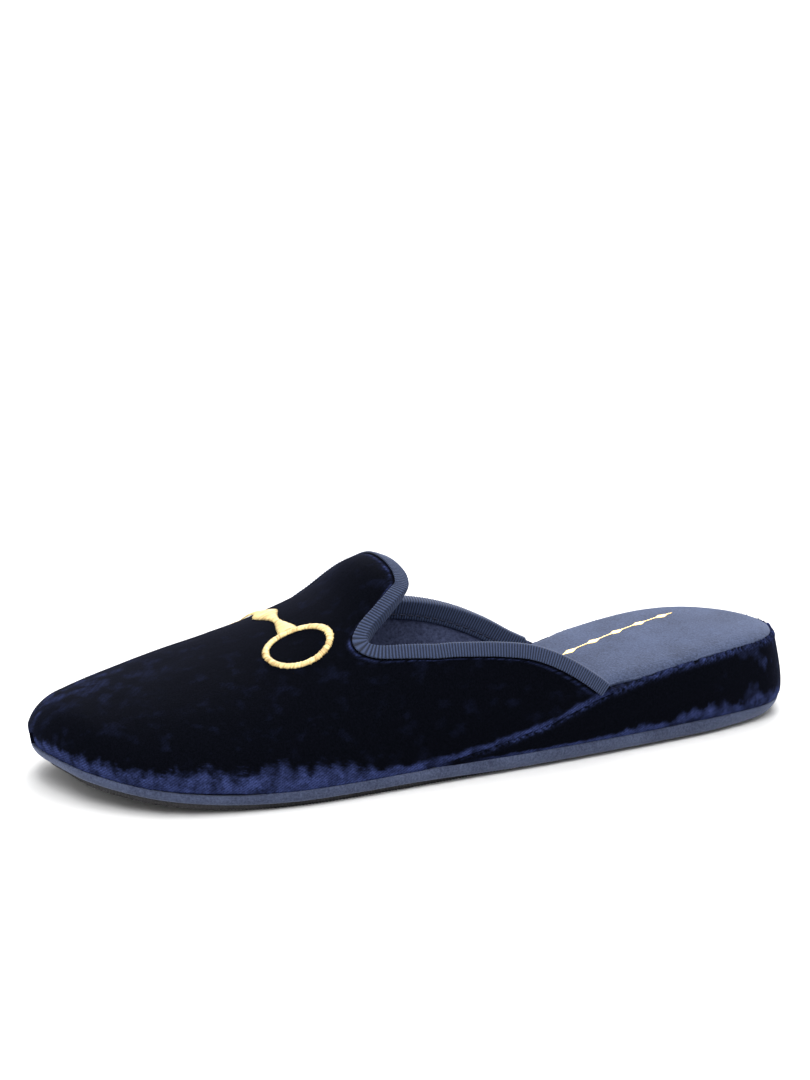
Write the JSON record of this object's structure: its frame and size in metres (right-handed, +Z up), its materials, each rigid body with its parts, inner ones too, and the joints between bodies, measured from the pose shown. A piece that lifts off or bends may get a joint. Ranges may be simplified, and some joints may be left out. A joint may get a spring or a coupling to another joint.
{
  "type": "velvet mule slipper",
  "caption": "Backless slipper for the left foot with a velvet upper, ribbed edge binding, low wedge heel, microsuede sock and rubber sole.",
  "frame": {"origin": "centre of the bounding box on the ground plane under the tread", "axes": "+X along the slipper from heel to toe, +Y to the outer side of the left foot, +Z up"},
  "size_m": [0.2554, 0.087, 0.064],
  "materials": {
    "rubber_sole": "dark grey rubber with a fine ribbed edge, matt",
    "foam": "closed-cell foam, hidden inside",
    "band_microsuede": "dull blue-grey microsuede strip",
    "velvet": "deep navy cotton velvet, pile brightens at grazing angles",
    "fibreboard": "cellulose board, hidden inside",
    "microsuede": "slate-blue microsuede with a fine nap",
    "gold_foil": "hot-stamped gold foil",
    "interlining": "non-woven interlining, hidden inside",
    "lining_microsuede": "dark slate microsuede",
    "grosgrain": "blue-grey ribbed grosgrain tape, slight sheen",
    "dark_thread": "dark navy sewing thread",
    "gold_thread": "pale gold rayon satin stitch with a silky sheen"
  },
  "bodies": {
    "root": {"outsole": "rubber_sole", "midsole_wedge": "foam", "sole_band": "band_microsuede", "heel_wrap": "velvet", "insole_board": "fibreboard", "insole_cushion": "foam", "sock_lining": "microsuede", "heel_sock_ornament": "gold_foil", "upper_velvet": "velvet", "upper_backing": "interlining", "toe_puff": "fibreboard", "upper_lining": "lining_microsuede", "topline_binding": "grosgrain", "binding_stitching": "dark_thread", "embroidered_outer_ring": "gold_thread", "embroidered_inner_ring": "gold_thread", "embroidered_bar": "gold_thread"}
  },
  "joints": []
}
